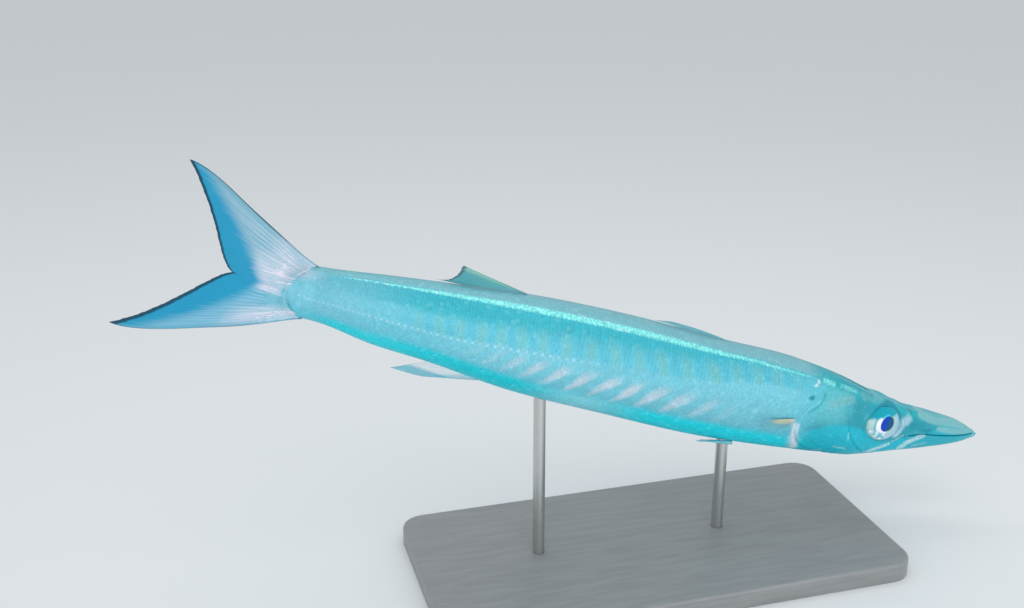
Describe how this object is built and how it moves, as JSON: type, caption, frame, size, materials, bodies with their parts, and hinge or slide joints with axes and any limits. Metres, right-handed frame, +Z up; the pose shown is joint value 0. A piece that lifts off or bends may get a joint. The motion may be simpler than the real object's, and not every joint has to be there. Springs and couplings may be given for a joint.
{
  "type": "barracuda model on a display stand",
  "caption": "Life-size still model of a slender swimming barracuda, nose down with folded fins and a flexed forked tail, held on upright rods above a flat display base.",
  "frame": {"origin": "centre of the underside of the display base", "axes": "+X toward the fish's nose along the base, +Y to the fish's left, +Z up"},
  "size_m": [0.72, 0.19, 0.3701],
  "materials": {
    "skin": "wet silvery teal scales, grey-brown back, dusky bars and a bright line",
    "fin": "pale lavender rays and blue web with dark margins",
    "pale_fin": "pale web with a yellow leading ray",
    "eye": "deep blue pupil in a white and gold iris under a clear cornea",
    "stand_base": "plain satin grey paint",
    "stand_rod": "brushed"
  },
  "bodies": {
    "root": {"head": "skin", "lower_jaw": "skin", "gill_cover_left": "skin", "gill_cover_right": "skin", "torso_front": "skin", "torso_rear": "skin", "tail_stalk": "skin", "eye_left": "eye", "eye_right": "eye", "first_dorsal_fin": "fin", "second_dorsal_fin": "fin", "anal_fin": "fin", "tail_fin_upper_lobe": "fin", "tail_fin_lower_lobe": "fin", "pectoral_fin_left": "pale_fin", "pectoral_fin_right": "pale_fin", "pelvic_fin_left": "pale_fin", "pelvic_fin_right": "pale_fin", "stand_base": "stand_base", "stand_rod_front": "stand_rod", "stand_rod_rear": "stand_rod"}
  },
  "joints": []
}
